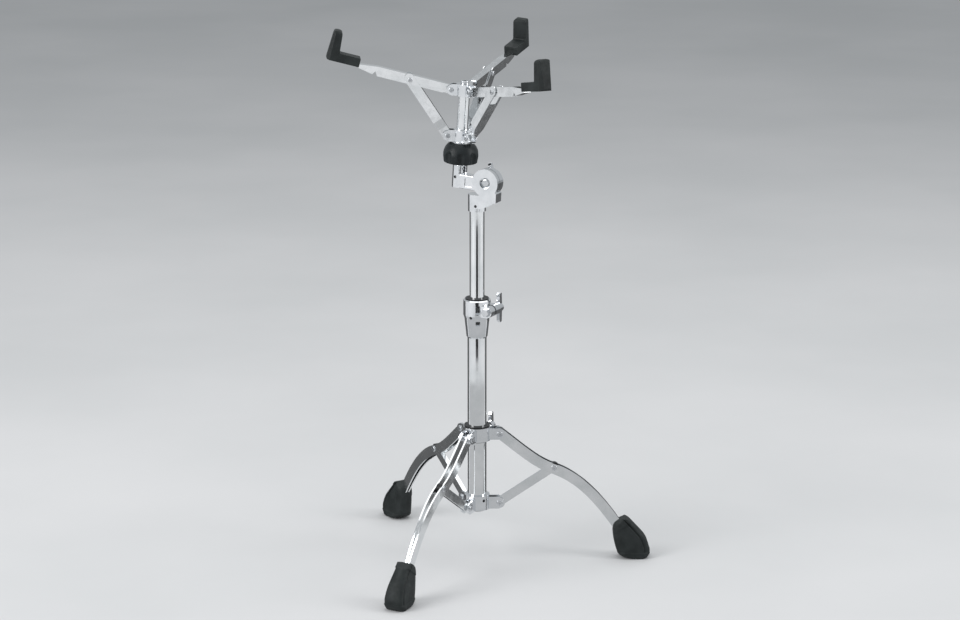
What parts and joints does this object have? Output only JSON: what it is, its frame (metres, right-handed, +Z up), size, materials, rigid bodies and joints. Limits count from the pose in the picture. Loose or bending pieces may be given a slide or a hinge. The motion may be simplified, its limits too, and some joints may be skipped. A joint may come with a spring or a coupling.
{
  "type": "snare drum stand",
  "caption": "Folding tripod stand with telescoping column, tilter and a three-armed basket that grips a snare drum",
  "frame": {"origin": "point on the floor under the column, on the axis of the tubes", "axes": "+Z up along the tubes; +X to the right of the pictured view, close to one leg; +Y to the back"},
  "size_m": [0.4863, 0.4742, 0.8147],
  "materials": {
    "chrome_tube": "polished chrome plate",
    "chrome_strip": "chrome-plated pressed steel",
    "chrome_casting": "chrome-plated die casting",
    "zinc_steel": "bright zinc-plated steel",
    "black_rubber": "moulded matte rubber",
    "black_nylon": "satin moulded nylon",
    "knob_plastic": "satin moulded plastic"
  },
  "bodies": {
    "base_column": {"base_tube": "chrome_tube", "base_plug": "black_nylon", "lower_bracket": "chrome_casting", "bracket_rivets": "zinc_steel", "height_clamp": "chrome_casting", "clamp_bushing": "black_nylon", "clamp_bolt": "zinc_steel", "column_set_screws": "zinc_steel"},
    "clamp_wing_nut": {"clamp_wing_nut": "chrome_casting"},
    "leg_collar": {"leg_collar": "chrome_casting", "collar_bushing": "black_nylon", "collar_rivets": "zinc_steel"},
    "collar_wing_bolt": {"collar_wing_bolt": "chrome_casting"},
    "guide": {"guide_bushing": "black_nylon"},
    "upper_mast": {"upper_tube": "chrome_tube", "tilter_base": "chrome_casting", "socket_set_screw": "zinc_steel", "tilter_washer": "zinc_steel", "tilter_bolt": "zinc_steel"},
    "tilter_wing_nut": {"tilter_wing_nut": "chrome_casting"},
    "basket_head": {"tilter_head": "chrome_casting", "rod_set_screw": "zinc_steel", "basket_rod": "chrome_tube", "basket_hub": "chrome_casting", "hub_rivets": "zinc_steel", "hub_screw": "zinc_steel"},
    "spider": {"spider": "chrome_casting", "spider_rivets": "zinc_steel", "spider_washer": "zinc_steel"},
    "height_knob": {"height_knob": "knob_plastic"},
    "brace_1": {"brace_1": "chrome_strip", "brace_cap_1": "black_nylon"},
    "leg_1": {"leg_1_left_strip": "chrome_strip", "leg_1_right_strip": "chrome_strip", "leg_1_rivets": "zinc_steel", "rubber_foot_1": "black_rubber"},
    "arm_1": {"basket_arm_1": "chrome_strip", "claw_1": "black_rubber"},
    "link_1": {"basket_link_1": "chrome_strip", "link_pin_1": "zinc_steel"},
    "brace_2": {"brace_2": "chrome_strip", "brace_cap_2": "black_nylon"},
    "leg_2": {"leg_2_left_strip": "chrome_strip", "leg_2_right_strip": "chrome_strip", "leg_2_rivets": "zinc_steel", "rubber_foot_2": "black_rubber"},
    "arm_2": {"basket_arm_2": "chrome_strip", "claw_2": "black_rubber"},
    "link_2": {"basket_link_2": "chrome_strip", "link_pin_2": "zinc_steel"},
    "brace_3": {"brace_3": "chrome_strip", "brace_cap_3": "black_nylon"},
    "leg_3": {"leg_3_left_strip": "chrome_strip", "leg_3_right_strip": "chrome_strip", "leg_3_rivets": "zinc_steel", "rubber_foot_3": "black_rubber"},
    "arm_3": {"basket_arm_3": "chrome_strip", "claw_3": "black_rubber"},
    "link_3": {"basket_link_3": "chrome_strip", "link_pin_3": "zinc_steel"}
  },
  "joints": [
    {"name": "tripod_fold", "type": "hinge", "parent": "base_column", "child": "brace_1", "pos_m": [0.03397, 0.0013, 0.0905], "axis": [0.0384, -0.9993, 0], "range_deg": [-8, 46]},
    {"name": "leg_1_knee", "type": "hinge", "parent": "brace_1", "child": "leg_1", "pos_m": [0.11641, 0.00447, 0.14525], "axis": [-0.0384, 0.9993, 0], "range_deg": [-16, 92]},
    {"name": "collar_lift", "type": "hinge", "parent": "leg_1", "child": "leg_collar", "pos_m": [0.03397, 0.0013, 0.2], "axis": [0.0384, -0.9993, 0], "range_deg": [-8, 46]},
    {"name": "brace_2_fold", "type": "hinge", "parent": "base_column", "child": "brace_2", "pos_m": [-0.01812, 0.02877, 0.0905], "axis": [0.8462, 0.5329, 0], "range_deg": [-8, 46]},
    {"name": "leg_2_fold", "type": "hinge", "parent": "leg_collar", "child": "leg_2", "pos_m": [-0.01812, 0.02877, 0.2], "axis": [-0.8462, -0.5329, 0], "range_deg": [-8, 46]},
    {"name": "brace_3_fold", "type": "hinge", "parent": "base_column", "child": "brace_3", "pos_m": [-0.01586, -0.03008, 0.0905], "axis": [-0.8846, 0.4664, 0], "range_deg": [-8, 46]},
    {"name": "leg_3_fold", "type": "hinge", "parent": "leg_collar", "child": "leg_3", "pos_m": [-0.01586, -0.03008, 0.2], "axis": [0.8846, -0.4664, 0], "range_deg": [-8, 46]},
    {"name": "collar_wing_bolt_turn", "type": "hinge", "parent": "leg_collar", "child": "collar_wing_bolt", "pos_m": [0.01399, 0.02654, 0.2], "axis": [0.4664, 0.8846, 0], "continuous": true},
    {"name": "clamp_wing_nut_turn", "type": "hinge", "parent": "base_column", "child": "clamp_wing_nut", "pos_m": [0.02079, -0.012, 0.393], "axis": [0.5, 0.866, 0], "continuous": true},
    {"name": "height_slide", "type": "slide", "parent": "base_column", "child": "guide", "axis": [0, 0, 1], "range_m": [-0.128, 0.112]},
    {"name": "mast_swivel", "type": "hinge", "parent": "guide", "child": "upper_mast", "pos_m": [0, 0, 0.3], "axis": [0, 0, 1], "continuous": true},
    {"name": "basket_tilt", "type": "hinge", "parent": "upper_mast", "child": "basket_head", "pos_m": [0.01718, -0.00857, 0.5881], "axis": [0.4462, 0.8949, 0], "range_deg": [-10, 90]},
    {"name": "tilter_wing_nut_turn", "type": "hinge", "parent": "upper_mast", "child": "tilter_wing_nut", "pos_m": [0.01718, -0.00857, 0.5881], "axis": [0.4462, 0.8949, 0], "continuous": true},
    {"name": "spider_slide", "type": "slide", "parent": "basket_head", "child": "spider", "axis": [0.0562, -0.028, 0.998], "range_m": [0, 0.03038]},
    {"name": "knob_turn", "type": "hinge", "parent": "spider", "child": "height_knob", "pos_m": [-0.02385, 0.01189, 0.62706], "axis": [0.0562, -0.028, 0.998], "range_deg": [0, 5450.4]},
    {"name": "arm_1_fold", "type": "hinge", "parent": "basket_head", "child": "arm_1", "pos_m": [-0.03789, 0.0077, 0.72342], "axis": [-0.0758, 0.9966, 0.0322], "range_deg": [0, 50.05]},
    {"name": "link_1_fold", "type": "hinge", "parent": "spider", "child": "link_1", "pos_m": [-0.04363, 0.00947, 0.65516], "axis": [-0.0758, 0.9966, 0.0322], "range_deg": [0, 19.28]},
    {"name": "arm_2_fold", "type": "hinge", "parent": "basket_head", "child": "arm_2", "pos_m": [-0.00749, -0.00686, 0.7213], "axis": [-0.8243, -0.5654, 0.0305], "range_deg": [0, 50.05]},
    {"name": "link_2_fold", "type": "hinge", "parent": "spider", "child": "link_2", "pos_m": [-0.01027, -0.00651, 0.65283], "axis": [-0.8243, -0.5654, 0.0305], "range_deg": [0, 19.28]},
    {"name": "arm_3_fold", "type": "hinge", "parent": "basket_head", "child": "arm_3", "pos_m": [-0.01005, 0.0268, 0.72239], "axis": [0.9001, -0.4312, -0.0628], "range_deg": [0, 50.05]},
    {"name": "link_3_fold", "type": "hinge", "parent": "spider", "child": "link_3", "pos_m": [-0.01308, 0.03043, 0.65402], "axis": [0.9001, -0.4312, -0.0628], "range_deg": [0, 19.28]}
  ],
  "couplings": [
    {"joint": "leg_1_knee", "follows": "tripod_fold", "ratio": 2},
    {"joint": "collar_lift", "follows": "tripod_fold", "ratio": 1},
    {"joint": "brace_2_fold", "follows": "tripod_fold", "ratio": 1},
    {"joint": "leg_2_fold", "follows": "tripod_fold", "ratio": 1},
    {"joint": "brace_3_fold", "follows": "tripod_fold", "ratio": 1},
    {"joint": "leg_3_fold", "follows": "tripod_fold", "ratio": 1},
    {"joint": "spider_slide", "follows": "knob_turn", "m_per_rad": 0.00031831},
    {"joint": "arm_1_fold", "follows": "knob_turn", "ratio": 0.0091736},
    {"joint": "link_1_fold", "follows": "knob_turn", "ratio": 0.0035285},
    {"joint": "arm_2_fold", "follows": "knob_turn", "ratio": 0.0091736},
    {"joint": "link_2_fold", "follows": "knob_turn", "ratio": 0.0035285},
    {"joint": "arm_3_fold", "follows": "knob_turn", "ratio": 0.0091736},
    {"joint": "link_3_fold", "follows": "knob_turn", "ratio": 0.0035285}
  ]
}
